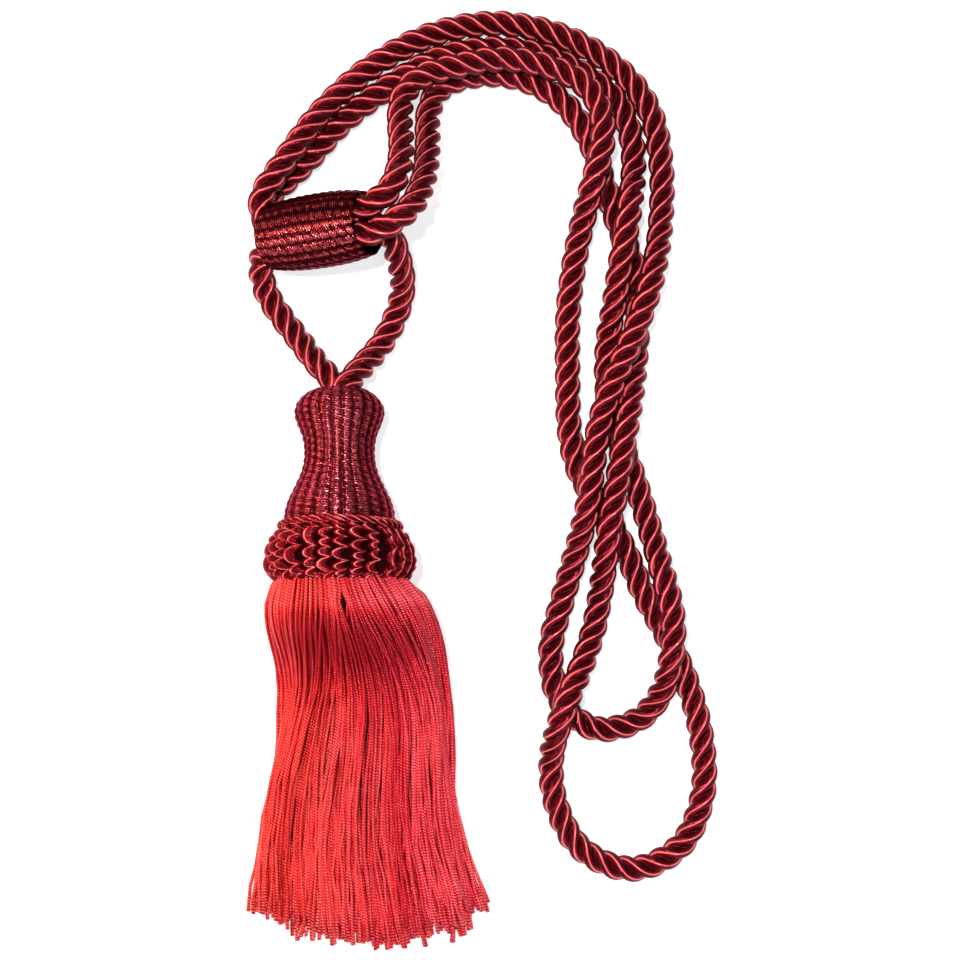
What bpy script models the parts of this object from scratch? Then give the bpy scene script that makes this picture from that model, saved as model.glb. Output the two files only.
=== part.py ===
"""A curtain tieback: a tassel on a doubled three-ply rope, with a thread-covered slider, lying on a surface.

+X is across the tassel, +Y runs from its skirt to its head, +Z is up. The origin is on the flat of the
collar, where the tassel rests on the surface.
"""
import math

import bmesh
import bpy
from mathutils import Matrix, Vector

MM = 0.001
GAP = 0.3 * MM                  # kept between pieces that touch

# rope: three plies laid right-handed
ROPE_LOBE = 4.7 * MM            # axis to the crown of a ply
ROPE_GROOVE = 3.8 * MM          # axis to the valley between two plies
ROPE_LAY = 21.8 * MM            # one full turn of a ply
STEPS_PER_LAY = 7
PLIES = 3
ROPE_REST = 4.8 * MM            # height of the rope's axis where it lies on the surface

# slider: a barrel with a rib of thread every 16 degrees
SLIDER_CENTRE = (-8.2 * MM, 124.3 * MM, 23.0 * MM)
SLIDER_TILT = math.radians(28)  # its right end rides up on the rope
SLIDER_YAW = math.radians(4.8)
SLIDER_HALF = 20.5 * MM
SLIDER_BELLY = 14.1 * MM
SLIDER_MOUTH = 12.2 * MM
SLIDER_BORE = 10.9 * MM
SLIDER_RIBS = 22
RIB_DEPTH = 0.8 * MM
PASS_RADIUS = 5.8 * MM          # slider's axis to the rope's axis in each of its three passes

# tassel: head, collar and skirt share one axis, which dips towards the head
TASSEL_TILT = math.radians(9.5)
AXIS_HEIGHT = 27.2 * MM         # at the middle of the collar
HEAD_TOP = 64.3 * MM            # all stations are measured along the axis from the middle of the collar
HEAD_FOOT = 13.2 * MM
HEAD_RIBS = 24
COLLAR_RIBS = 28
COLLAR_RIB_DEPTH = 1.3 * MM
COLLAR_ROWS_ZIGZAG = 0.30       # share of a rib's pitch by which each row of crimps steps sideways
PLUG_TOP = -11.3 * MM
PLUG_FOOT = -17.0 * MM
PLUG_RADIUS = 23.4 * MM

HEAD_PROFILE = [                # station, radius, in mm
    (64.3, 10.6), (62.6, 13.4), (59.5, 16.2), (55.5, 17.2), (51.0, 15.7), (45.0, 13.7),
    (38.0, 13.5), (32.0, 15.2), (25.0, 18.6), (19.0, 20.6), (13.2, 21.0),
]
COLLAR_PROFILE = [              # station, radius, in mm
    (12.9, 19.0), (12.0, 23.0), (8.4, 26.6), (3.6, 28.3), (-1.2, 28.7), (-5.6, 27.8), (-9.2, 25.2), (-11.0, 21.0),
]
SLIDER_BULGE = 2.4              # power of the barrel's curve from belly to mouth

# skirt: cross-sections down its length, each an oval that grows flatter towards the floor
SKIRT_SECTIONS = [              # y, left, right, underside, top, flatness (0 round, 1 level layers), in mm
    (-20.0, -28.0, 33.0, 5.0, 44.5, 0.15),
    (-30.0, -27.0, 37.0, 1.5, 36.0, 0.35),
    (-45.0, -24.0, 39.5, 0.1, 28.0, 0.6),
    (-65.0, -24.5, 42.0, 0.1, 21.5, 0.85),
    (-90.0, -28.5, 42.0, 0.1, 16.5, 1.0),
    (-115.0, -34.0, 48.0, 0.1, 13.5, 1.0),
    (-141.0, -36.0, 53.5, 0.1, 12.0, 1.0),
]
STRAND_LAYERS = [               # height in the section (-1 under, 1 top), strands, share of the full width
    (-0.92, 19, 0.94), (-0.46, 22, 1.0), (0.0, 23, 1.0), (0.46, 21, 0.94), (0.92, 17, 0.84),
]
STRAND_START = -14.2 * MM       # station of the roots, inside the plug
STRAND_SPREAD = 21.0 * MM       # radius of the bundle of roots
STRAND_ROOT = 0.50 * MM         # radius of a strand at the collar
STRAND_TIP = 1.05 * MM          # and at its free end


def tassel_matrix():
    """Local Z runs up the tassel's axis towards its head, local X stays across."""
    turn = Matrix.Rotation(-(math.pi / 2 + TASSEL_TILT), 4, "X")
    return Matrix.Translation((0, 0, AXIS_HEIGHT)) @ turn


def slider_matrix():
    """Local Z runs along the barrel to its raised right mouth, local Y is away from the tassel."""
    turn = Matrix.Rotation(SLIDER_YAW, 4, "Z") @ Matrix.Rotation(math.pi / 2 - SLIDER_TILT, 4, "Y")
    return Matrix.Translation(SLIDER_CENTRE) @ turn


def in_slider(along, degrees, radius=PASS_RADIUS):
    """A point of a rope's pass, by its station in mm and its angle around the barrel."""
    angle = math.radians(degrees)
    local = Vector((-radius * math.sin(angle), radius * math.cos(angle), along * MM))
    return slider_matrix() @ local


def in_head(across, height, station=64.9):
    """A point where a leg of the rope is let into the top of the head, in mm."""
    return tassel_matrix() @ Vector((across * MM, -height * MM, station * MM))


def lying(*points):
    """Points of the rope's route given in mm from the origin."""
    return [Vector(point) * MM for point in points]


# the rope's route, from the left leg in the head to the right leg in the head
LEFT_LEG = [in_head(-1.8, -4.6, 60.5), in_head(-3.0, -4.6)] + lying(
    (-5, 65.5, 11.8), (-11, 72, 10), (-19, 82.5, 5.6), (-26.5, 94.5, 4.9),
    (-31.5, 103, 5.6), (-34, 111, 9.5), (-32, 116.5, 13.6))
FIRST_PASS = [in_slider(-19.8, 150, 5.9 * MM), in_slider(-10, 146), in_slider(5, 142), in_slider(19, 140)]
OUTER_LOOP = lying(
    (15.5, 122, 38.4), (21.5, 125.5, 39), (27.5, 131.5, 35.5), (31.5, 143.5, 26), (32.5, 157, 16),
    (32.5, 170.5, 7.4), (36, 179.5, 4.9), (43.5, 184, 4.8), (58, 186, 4.8), (72, 183, 4.8),
    (85, 174.5, 4.8), (94.5, 160.5, 4.8), (99.5, 145.5, 4.8), (105.5, 128, 4.8), (111.5, 111.5, 4.8),
    (113, 93.5, 4.8), (112, 75, 5.2), (110, 61, 11), (107.5, 47.5, 15), (104, 26, 15),
    (101.5, 12.5, 15), (100, 1, 12.6), (98, -15, 5), (95.5, -28.5, 4.9), (91, -42, 9.7),
    (86, -52.5, 14.9), (82.5, -63.5, 14.2), (80, -78.5, 5.2), (81.5, -94, 4.8), (91, -112, 4.8),
    (111, -120, 4.8), (129.5, -111, 4.8), (138, -91.5, 4.8), (137.5, -69, 4.8),
    (132, -48, 4.8), (124.5, -31, 4.8), (115, -13.5, 4.8), (109, 1, 4.8), (101, 16, 4.8),
    (91, 31.5, 4.8), (87, 46.5, 4.8), (86, 71.5, 4.8), (86, 95.5, 4.8), (88.5, 116.5, 5),
    (91.5, 131, 9), (95, 143.5, 14.8), (98.5, 155, 15), (98.5, 169.5, 14.7), (92.5, 180, 14),
    (79, 187, 13.8), (60.5, 190, 14), (42.5, 187, 14.4), (30.5, 183.5, 14.4), (23, 176.5, 15.4),
    (21.5, 166.5, 19.5), (22.5, 155, 27.3), (22, 145.5, 33.8), (19, 137, 37.2), (13, 132, 36.8))
SECOND_PASS = [in_slider(18.5, 20), in_slider(5, 23), in_slider(-10, 28), in_slider(-20, 31, 5.9 * MM)]
INNER_LOOP = lying(
    (-32.5, 129.5, 15.2), (-35, 134, 15), (-33.5, 139.5, 14.7), (-29.5, 145.5, 13.2), (-24, 155.5, 7.6),
    (-11, 173.5, 4.8), (9, 191, 4.8), (34, 203.5, 4.8), (60, 207, 4.8), (87.5, 201, 4.8),
    (107.5, 188.5, 4.8), (119, 173.5, 4.8), (123, 154, 4.8), (122, 129, 6), (116.5, 104, 14.4),
    (109.5, 83, 15), (101.5, 64, 15), (97, 49, 14.5), (94.5, 33.5, 14.9), (92.5, 19, 15),
    (89, 4, 9), (84, -14.5, 4.8), (79, -35.5, 4.8), (83, -55, 4.8), (96.5, -66, 4.8),
    (113, -62.5, 5.2), (121.5, -52, 9), (124, -40, 14.4),
    (125, -28, 15), (124, -17.5, 14.2), (121.5, -7, 11.2), (119, 3.5, 6), (111, 31.5, 4.8),
    (105, 48.5, 4.8), (101.5, 64.5, 4.8), (102, 84.5, 5.3), (104, 96.5, 10.3), (106, 111.5, 14.6),
    (108, 124, 15), (109.5, 135, 13.4), (111.5, 148, 6), (111, 160.5, 4.8), (105.5, 175.5, 4.8),
    (93, 186, 4.8), (77.5, 193.5, 4.8), (58, 196.5, 4.8), (39, 193.5, 4.8), (21.5, 184.5, 4.8),
    (-0.5, 167.5, 4.8), (-14.5, 151, 4.8), (-22.5, 143, 4.8), (-29, 138, 4.9),
    (-31.5, 132.5, 4.9), (-29.5, 127, 5.5))
THIRD_PASS = [in_slider(-19.8, 268, 5.9 * MM), in_slider(-10, 264), in_slider(5, 261), in_slider(19, 260)]
RIGHT_LEG = lying(
    (17.5, 123, 28.6), (21, 118.5, 25.2), (23, 112, 19.5), (24, 104, 10.5), (21, 94, 5.6),
    (14.5, 81.5, 7.5), (7.5, 73, 14), (3, 67, 19.6)) + [in_head(1.3, 4.7), in_head(0.4, 4.7, 60.5)]
ROUTE = LEFT_LEG + FIRST_PASS + OUTER_LOOP + SECOND_PASS + INNER_LOOP + THIRD_PASS + RIGHT_LEG


def clear_scene():
    for obj in list(bpy.data.objects):
        bpy.data.objects.remove(obj, do_unlink=True)


def new_collection(name):
    collection = bpy.data.collections.new(name)
    bpy.context.scene.collection.children.link(collection)
    return collection


def make_material(name, colour, roughness):
    material = bpy.data.materials.new(name)
    material.use_nodes = True
    shader = material.node_tree.nodes["Principled BSDF"]
    shader.inputs["Base Color"].default_value = (*colour, 1)
    shader.inputs["Roughness"].default_value = roughness
    shader.inputs["Metallic"].default_value = 0
    return material


def add_object(name, data, collection, material=None):
    obj = bpy.data.objects.new(name, data)
    collection.objects.link(obj)
    if material:
        data.materials.append(material)
    return obj


def hide_helper(obj):
    obj.hide_render = True
    obj.display_type = "WIRE"


def box_cutter(name, size, cutters):
    bpy.ops.mesh.primitive_cube_add(size=1)
    box = bpy.context.active_object
    box.name = name
    box.data.transform(Matrix.Diagonal((*size, 1)))
    for owner in list(box.users_collection):
        owner.objects.unlink(box)
    cutters.objects.link(box)
    hide_helper(box)
    return box


def subtract(obj, cutter):
    cut = obj.modifiers.new("cut", "BOOLEAN")
    cut.operation = "DIFFERENCE"
    cut.solver = "EXACT"
    cut.object = cutter


def evaluated_mesh(obj):
    """The object's mesh with its modifiers or bevel, its loose caps welded on."""
    graph = bpy.context.evaluated_depsgraph_get()
    mesh = bpy.data.meshes.new_from_object(obj.evaluated_get(graph))
    cage = bmesh.new()
    cage.from_mesh(mesh)
    bmesh.ops.remove_doubles(cage, verts=cage.verts, dist=0.01 * MM)
    bmesh.ops.recalc_face_normals(cage, faces=cage.faces)
    cage.to_mesh(mesh)
    cage.free()
    return mesh


def smooth_route(points, step):
    """Points at equal steps along a smooth curve through the route, never below the surface."""
    count = len(points)
    knots = [0.0]
    for here, there in zip(points, points[1:]):
        knots.append(knots[-1] + math.sqrt((there - here).length))
    slopes = []
    for i in range(count):
        if i in (0, count - 1):
            j = min(i, count - 2)
            slopes.append((points[j + 1] - points[j]) / (knots[j + 1] - knots[j]))
            continue
        before = knots[i] - knots[i - 1]
        after = knots[i + 1] - knots[i]
        back = (points[i] - points[i - 1]) / before
        ahead = (points[i + 1] - points[i]) / after
        slopes.append((back * after + ahead * before) / (before + after))
    fine = []
    for i in range(count - 1):
        span = knots[i + 1] - knots[i]
        for k in range(24):
            t = k / 24
            point = (points[i] * (2 * t**3 - 3 * t**2 + 1) + slopes[i] * span * (t**3 - 2 * t**2 + t)
                     + points[i + 1] * (3 * t**2 - 2 * t**3) + slopes[i + 1] * span * (t**3 - t**2))
            point.z = max(point.z, ROPE_REST)
            fine.append(point)
    fine.append(points[-1].copy())
    lengths = [0.0]
    for here, there in zip(fine, fine[1:]):
        lengths.append(lengths[-1] + (there - here).length)
    steps = round(lengths[-1] / step)
    even = []
    j = 0
    for k in range(steps + 1):
        target = lengths[-1] * k / steps
        while j < len(fine) - 2 and lengths[j + 1] < target:
            j += 1
        share = (target - lengths[j]) / (lengths[j + 1] - lengths[j])
        even.append(fine[j].lerp(fine[j + 1], min(share, 1)))
    return even


def make_rope(collection, cutters, material):
    """One solid: a section with a lobe for each ply, turned steadily along the route."""
    section = bpy.data.curves.new("ply_section", "CURVE")
    section.dimensions = "2D"
    outline = section.splines.new("POLY")
    outline.points.add(2 * PLIES - 1)
    outline.use_cyclic_u = True
    for i, point in enumerate(outline.points):
        radius = ROPE_GROOVE if i % 2 else ROPE_LOBE
        angle = math.pi * i / PLIES
        point.co = (radius * math.cos(angle), radius * math.sin(angle), 0, 1)
    section_obj = add_object("ply_section", section, cutters)
    hide_helper(section_obj)

    path = smooth_route(ROUTE, ROPE_LAY / STEPS_PER_LAY)
    curve = bpy.data.curves.new("rope", "CURVE")
    curve.dimensions = "3D"
    curve.twist_mode = "Z_UP"
    curve.bevel_mode = "OBJECT"
    curve.bevel_object = section_obj
    curve.use_fill_caps = True
    spline = curve.splines.new("POLY")
    spline.points.add(len(path) - 1)
    for i, (point, place) in enumerate(zip(spline.points, path)):
        point.co = (*place, 1)
        point.tilt = 2 * math.pi * (i % STEPS_PER_LAY) / STEPS_PER_LAY
    guide = add_object("rope_guide", curve, cutters)
    mesh = evaluated_mesh(guide)
    bpy.data.objects.remove(guide, do_unlink=True)
    mesh.materials.clear()
    rope = add_object("rope", mesh, collection, material)
    mesh.shade_smooth()
    mesh.set_sharp_from_angle(angle=math.radians(70))
    depth = 12 * MM
    middle = tassel_matrix() @ Vector((0, 0, HEAD_TOP + GAP - depth / 2))
    saw = box_cutter("end_saw", (26 * MM, 26 * MM, depth), cutters)
    saw.matrix_world = Matrix.Translation(middle) @ tassel_matrix().to_quaternion().to_matrix().to_4x4()
    subtract(rope, saw)
    return rope


def turned(name, profile, steps, cutters):
    """A profile of (radius, station) pairs spun once about Z, as a closed mesh."""
    mesh = bpy.data.meshes.new(name)
    cage = bmesh.new()
    verts = [cage.verts.new((radius, 0, station)) for radius, station in profile]
    for here, there in zip(verts, verts[1:]):
        cage.edges.new((here, there))
    if profile[0][0] > 0:
        cage.edges.new((verts[-1], verts[0]))
    cage.to_mesh(mesh)
    cage.free()
    guide = add_object(name + "_guide", mesh, cutters)
    screw = guide.modifiers.new("spin", "SCREW")
    screw.steps = steps
    screw.render_steps = steps
    screw.use_merge_vertices = True
    screw.merge_threshold = 0.00002
    result = evaluated_mesh(guide)
    bpy.data.objects.remove(guide, do_unlink=True)
    return result


def raise_ribs(mesh, ribs, depth, above_radius, sway=None):
    """Lower every second column of points, so that ribs stand up between them."""
    for vert in mesh.vertices:
        radius = math.hypot(vert.co.x, vert.co.y)
        if radius < above_radius:
            continue
        angle = math.atan2(vert.co.y, vert.co.x)
        column = round(angle / (math.pi / ribs))
        if column % 2:
            radius -= depth
        if sway:
            angle += sway(vert.co.z)
        vert.co.x = radius * math.cos(angle)
        vert.co.y = radius * math.sin(angle)


def make_slider(collection, cutters, material):
    """A hollow barrel: ribbed outside, plain in the bore, with rounded mouths."""
    stations = [0.96, 0.78, 0.5, 0.17, -0.17, -0.5, -0.78, -0.96]
    outside = []
    for share in stations:
        radius = SLIDER_BELLY - (SLIDER_BELLY - SLIDER_MOUTH) * abs(share) ** SLIDER_BULGE
        outside.append((radius, share * SLIDER_HALF))
    lip = 0.5 * (SLIDER_MOUTH + SLIDER_BORE)
    profile = [(lip, SLIDER_HALF)] + outside + [(lip, -SLIDER_HALF)]
    profile += [(SLIDER_BORE, -0.94 * SLIDER_HALF), (SLIDER_BORE, 0.94 * SLIDER_HALF)]
    mesh = turned("slider", profile, 2 * SLIDER_RIBS, cutters)
    raise_ribs(mesh, SLIDER_RIBS, RIB_DEPTH, SLIDER_MOUTH - 0.5 * MM)
    slider = add_object("slider", mesh, collection, material)
    slider.matrix_world = slider_matrix()
    mesh.shade_smooth()
    mesh.set_sharp_from_angle(angle=math.radians(50))
    return slider


def make_head(collection, cutters, material):
    """The turned mould under its ribs of thread, flat where the rope goes in and where the collar sits."""
    profile = [(0, HEAD_TOP)] + [(radius * MM, station * MM) for station, radius in HEAD_PROFILE]
    profile.append((0, HEAD_FOOT))
    mesh = turned("tassel_head", profile, 2 * HEAD_RIBS, cutters)
    raise_ribs(mesh, HEAD_RIBS, RIB_DEPTH, 13.0 * MM)
    head = add_object("tassel_head", mesh, collection, material)
    head.matrix_world = tassel_matrix()
    mesh.shade_smooth()
    mesh.set_sharp_from_angle(angle=math.radians(50))
    return head


def make_collar(collection, cutters, material):
    """The ruff: columns of crimps that step left and right, with a flat pressed on where it rests."""
    profile = [(0, COLLAR_PROFILE[0][0] * MM)]
    profile += [(radius * MM, station * MM) for station, radius in COLLAR_PROFILE]
    profile.append((0, COLLAR_PROFILE[-1][0] * MM))
    mesh = turned("collar", profile, 2 * COLLAR_RIBS, cutters)
    stations = [station * MM for station, _ in COLLAR_PROFILE]
    pitch = 2 * math.pi / COLLAR_RIBS

    def zigzag(height):
        row = min(range(len(stations)), key=lambda i: abs(stations[i] - height))
        return (1 if row % 2 else -1) * COLLAR_ROWS_ZIGZAG * pitch / 2

    raise_ribs(mesh, COLLAR_RIBS, COLLAR_RIB_DEPTH, 22.0 * MM, zigzag)
    collar = add_object("collar", mesh, collection, material)
    collar.matrix_world = tassel_matrix()
    floor = box_cutter("floor", (100 * MM, 100 * MM, 100 * MM), cutters)
    floor.location = (0, 0, -50 * MM)
    subtract(collar, floor)
    mesh.shade_smooth()
    mesh.set_sharp_from_angle(angle=math.radians(50))
    return collar


def section_at(y):
    """The skirt's section at a place down its length, read between the rows of the table."""
    rows = [[value * MM for value in row[:5]] + [row[5]] for row in SKIRT_SECTIONS]
    for upper, lower in zip(rows, rows[1:]):
        if y >= lower[0] or lower is rows[-1]:
            share = (upper[0] - y) / (upper[0] - lower[0])
            share = max(0.0, min(1.0, share))
            return [a + (b - a) * share for a, b in zip(upper[1:], lower[1:])]


def make_skirt(collection, cutters, material):
    """Strands in five layers that stand apart, rooted in the plug that is bound under the collar."""
    curve = bpy.data.curves.new("strands", "CURVE")
    curve.dimensions = "3D"
    curve.twist_mode = "Z_UP"
    section = bpy.data.curves.new("strand_section", "CURVE")
    section.dimensions = "2D"
    outline = section.splines.new("POLY")
    outline.points.add(2)
    outline.use_cyclic_u = True
    for i, point in enumerate(outline.points):
        angle = math.radians(90 + 120 * i)
        point.co = (math.cos(angle), math.sin(angle), 0, 1)
    section_obj = add_object("strand_section", section, cutters)
    hide_helper(section_obj)
    curve.bevel_mode = "OBJECT"
    curve.bevel_object = section_obj
    curve.use_fill_caps = True

    stations = [row[0] for row in SKIRT_SECTIONS[:-1]]
    for layer, (level, count, reach) in enumerate(STRAND_LAYERS):
        for i in range(count):
            across = -1 + 2 * i / (count - 1)
            round_width = math.sqrt(1 - (0.93 * level) ** 2)
            tip = -139.5 - 3.6 * math.sin(2.6 * across + 0.9) - 2.6 * math.sin(17.3 * i + 5.1 * layer)
            ys = [station * MM for station in stations] + [tip * MM]
            spline = curve.splines.new("POLY")
            spline.points.add(len(ys))
            root = (across * round_width * STRAND_SPREAD, -level * STRAND_SPREAD, STRAND_START)
            spline.points[0].co = (*(tassel_matrix() @ Vector(root)), 1)
            spline.points[0].radius = STRAND_ROOT
            for k, y in enumerate(ys):
                left, right, under, top, flatness = section_at(y)
                thick = STRAND_ROOT + (STRAND_TIP - STRAND_ROOT) * min(1, (k + 1) / 4)
                width = (right - left) / 2 * (round_width * (1 - flatness) + reach * flatness) - thick
                low = under + thick / 2
                high = top - thick
                z = (low + high) / 2 + level / 0.92 * (high - low) / 2
                spline.points[k + 1].co = ((left + right) / 2 + across * width, y, z, 1)
                spline.points[k + 1].radius = thick
    guide = add_object("strands_guide", curve, cutters)
    strands = add_object("strands", evaluated_mesh(guide), cutters)
    hide_helper(strands)
    bpy.data.objects.remove(guide, do_unlink=True)

    profile = [(0, PLUG_TOP), (PLUG_RADIUS, PLUG_TOP), (PLUG_RADIUS, PLUG_FOOT), (0, PLUG_FOOT)]
    plug = turned("skirt", profile, 24, cutters)
    skirt = add_object("skirt", plug, collection, material)
    skirt.matrix_world = tassel_matrix()
    join = skirt.modifiers.new("roots", "BOOLEAN")
    join.operation = "UNION"
    join.solver = "EXACT"
    join.use_self = True
    join.object = strands
    return skirt


def build():
    clear_scene()
    parts = new_collection("curtain_tieback_tassel")
    cutters = new_collection("cutters")
    wine = make_material("satin_cord", (0.19, 0.012, 0.018), 0.38)
    wound = make_material("wound_thread", (0.22, 0.012, 0.016), 0.42)
    wood = make_material("head_thread", (0.24, 0.014, 0.018), 0.42)
    crimp = make_material("crimped_cord", (0.25, 0.014, 0.02), 0.4)
    scarlet = make_material("skirt_thread", (0.62, 0.025, 0.035), 0.45)
    make_rope(parts, cutters, wine)
    make_slider(parts, cutters, wound)
    make_head(parts, cutters, wood)
    make_collar(parts, cutters, crimp)
    make_skirt(parts, cutters, scarlet)


build()
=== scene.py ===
"""A curtain tieback laid out on a table: a tassel on a doubled twisted rope with a thread-covered slider."""
import math
import random

import bpy
import numpy as np
from mathutils import Matrix, Vector


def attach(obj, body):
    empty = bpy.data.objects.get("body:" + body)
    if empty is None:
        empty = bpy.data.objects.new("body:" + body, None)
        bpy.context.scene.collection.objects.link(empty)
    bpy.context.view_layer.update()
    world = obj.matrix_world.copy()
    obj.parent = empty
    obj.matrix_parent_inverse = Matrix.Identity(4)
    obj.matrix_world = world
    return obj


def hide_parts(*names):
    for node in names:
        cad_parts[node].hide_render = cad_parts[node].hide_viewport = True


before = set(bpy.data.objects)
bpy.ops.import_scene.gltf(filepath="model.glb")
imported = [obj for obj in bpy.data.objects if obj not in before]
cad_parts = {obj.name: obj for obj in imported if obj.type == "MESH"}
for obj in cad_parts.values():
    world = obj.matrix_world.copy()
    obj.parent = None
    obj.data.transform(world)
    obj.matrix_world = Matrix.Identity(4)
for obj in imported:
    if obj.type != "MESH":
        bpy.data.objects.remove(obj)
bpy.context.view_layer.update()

# ---------------------------------------------------------------------------------------------------------
# The table, the studio light and the camera. The table top is a white light box, which leaves only faint
# shadows. A small bright lamp hangs next to the camera and lights the satin thread, whose crisp line of light
# is a painted highlight in its colour. A warm lamp stands low on the left and a broad cool one in front.
MM = 0.001
CAMERA_PLACE = (52.3 * MM, 29.8 * MM, 750 * MM)
HALF_VIEW = 184.8 * MM          # from the middle of the view to its edge
VIEW_DISTANCE = 745 * MM        # below the camera, where the half view is measured
TABLE_SIZE = 6
TABLE_GAP = 0.2 * MM            # between the table top and the lowest thread

camera_data = bpy.data.cameras.new("camera")
camera_data.angle = 2 * math.atan(HALF_VIEW / VIEW_DISTANCE)
camera = bpy.data.objects.new("camera", camera_data)
camera.location = CAMERA_PLACE
bpy.context.scene.collection.objects.link(camera)
bpy.context.scene.camera = camera


def add_lamp(name, place, aim, size, watts, colour):
    """A round lamp at a place in metres, turned towards its aim."""
    lamp_data = bpy.data.lights.new(name, "AREA")
    lamp_data.shape = "DISK"
    lamp_data.size = size
    lamp_data.energy = watts
    lamp_data.color = colour
    lamp = bpy.data.objects.new(name, lamp_data)
    lamp.location = place
    lamp.rotation_euler = (Vector(aim) - Vector(place)).to_track_quat("-Z", "Y").to_euler()
    bpy.context.scene.collection.objects.link(lamp)


add_lamp("overhead_lamp", (-0.06, 0.15, 1.05), (0.05, 0.03, 0), 0.09, 14, (1, 0.96, 0.94))
add_lamp("left_lamp", (-0.72, 0.14, 0.36), (0, -0.02, 0.02), 0.20, 4.0, (1, 0.42, 0.26))
add_lamp("near_lamp", (0.35, -0.80, 0.70), (0.05, 0.03, 0), 0.60, 4.8, (0.90, 0.90, 1))

world = bpy.data.worlds.new("studio")
world.use_nodes = True
world.node_tree.nodes["Background"].inputs["Color"].default_value = (0.93, 0.96, 1, 1)
world.node_tree.nodes["Background"].inputs["Strength"].default_value = 0.16
bpy.context.scene.world = world
bpy.context.scene.view_settings.view_transform = "Standard"


class Wire:
    """The output of a shader node, which takes part in plain expressions."""

    def __init__(self, finish, socket):
        self.finish = finish
        self.socket = socket

    def maths(self, operation, *others):
        """A Math node that works on this output and the others."""
        inputs = {i: value for i, value in enumerate((self, *others))}
        return self.finish.node("ShaderNodeMath", {"operation": operation}, inputs)

    def __add__(self, other):
        return self.maths("ADD", other)

    __radd__ = __add__

    def __mul__(self, other):
        return self.maths("MULTIPLY", other)

    __rmul__ = __mul__

    def __sub__(self, other):
        return self.maths("SUBTRACT", other)

    def __rsub__(self, other):
        return (self * -1) + other

    def __truediv__(self, other):
        return self.maths("DIVIDE", other)

    def __pow__(self, other):
        return self.maths("POWER", other)

    def sin(self):
        return self.maths("SINE")

    def size(self):
        return self.maths("ABSOLUTE")


class Finish:
    """A material made of nodes round one shader."""

    def __init__(self, name, roughness=0.5):
        self.material = bpy.data.materials.new(name)
        self.material.use_nodes = True
        self.tree = self.material.node_tree
        self.shader = self.tree.nodes["Principled BSDF"]
        self.shader.inputs["Roughness"].default_value = roughness

    def node(self, kind, settings=None, sockets=None, output=0):
        """Any node: its kind, its settings and its sockets' values or wires."""
        made = self.tree.nodes.new(kind)
        for key, value in (settings or {}).items():
            if key == "stops":
                while len(made.color_ramp.elements) < len(value):
                    made.color_ramp.elements.new(0.5)
                for element, (position, colour) in zip(made.color_ramp.elements, value):
                    element.position = position
                    element.color = (*colour, 1)
            else:
                setattr(made, key, value)
        for key, value in (sockets or {}).items():
            if isinstance(value, Wire):
                self.tree.links.new(value.socket, made.inputs[key])
            else:
                made.inputs[key].default_value = value
        return Wire(self, made.outputs[output])

    def uv(self, name):
        """The two coordinates of a UV map."""
        both = self.node("ShaderNodeUVMap", {"uv_map": name})
        return [self.node("ShaderNodeSeparateXYZ", {}, {0: both}, i) for i in (0, 1)]

    def noise(self, scale, detail=2.0):
        """Noise over the piece's own coordinates, in lumps per metre."""
        place = self.node("ShaderNodeTexCoord", {}, {}, 3)
        return self.node("ShaderNodeTexNoise", {}, {"Vector": place, "Scale": scale, "Detail": detail})

    def ramp(self, factor, *stops):
        """Colours along a factor from 0 to 1."""
        return self.node("ShaderNodeValToRGB", {"stops": stops}, {0: factor})

    def mix(self, factor, one, other):
        """One colour where the factor is 0, the other where it is 1."""
        return self.node("ShaderNodeMix", {"data_type": "RGBA"}, {0: factor, 6: one, 7: other}, 2)

    def feed(self, socket, value):
        """Links a wire to one of the shader's sockets, or sets the socket to a value."""
        if isinstance(value, Wire):
            self.tree.links.new(value.socket, self.shader.inputs[socket])
        else:
            self.shader.inputs[socket].default_value = value

    def bump(self, height, depth):
        """Raises the surface by a height from 0 to 1 times a depth in metres."""
        self.feed("Normal", self.node("ShaderNodeBump", {}, {"Height": height, "Distance": depth}))


bpy.ops.object.select_all(action="DESELECT")
bpy.ops.mesh.primitive_plane_add(size=TABLE_SIZE, location=(0, 0, -TABLE_GAP))
table_top = bpy.context.active_object
table_top.name = "table_top"
table_finish = Finish("white_table_top", 0.8)
table_shade = table_finish.noise(3.0)
table_white = table_finish.ramp(table_shade, (0.3, (0.54, 0.54, 0.54)), (0.7, (0.58, 0.58, 0.58)))
table_finish.feed("Base Color", table_white)
table_finish.feed("Emission Color", (0.97, 0.98, 1, 1))
table_finish.feed("Emission Strength", 0.72)
table_finish.feed("Specular IOR Level", 0.1)
table_top.data.materials.append(table_finish.material)

# ---------------------------------------------------------------------------------------------------------
# The rope: one length of 10 mm satin cord, three plies laid right-handed, each ply wound with fine rayon
# thread. Both ends are let into the top of the tassel's head. In between it goes three times through the
# slider and lies doubled, as an outer and an inner loop.
ROPE_LAY = 21.8 * MM            # length of rope in which a ply goes round once
ROPE_REST = 4.9 * MM            # height of the rope's middle line where it lies on the table
PLIES = 3
PLY_DEPTH = 2.55 * MM           # half of a ply, across the rope's radius
PLY_WIDTH = 2.90 * MM           # and along its girth, where the lay draws it out
PLY_MIDDLE = 2.6 * MM           # from the rope's middle line to a ply's
PLY_THREAD = 0.33               # mm along a ply that one turn of its fine thread takes
POINTS_PER_PLY = 11
RINGS_PER_LAY = 25
CURVE_STEPS = 24                # between two points of a route
EASING_PASSES = 12
PAINTED_LINE_TURN = 0.30                # 0 puts the painted line of light on a ply's uppermost place, 1 on its crest
PAINTED_LINE_REACH = 2.8                # mm from the painted line of light at which the painted shade on a ply is at its darkest

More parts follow.
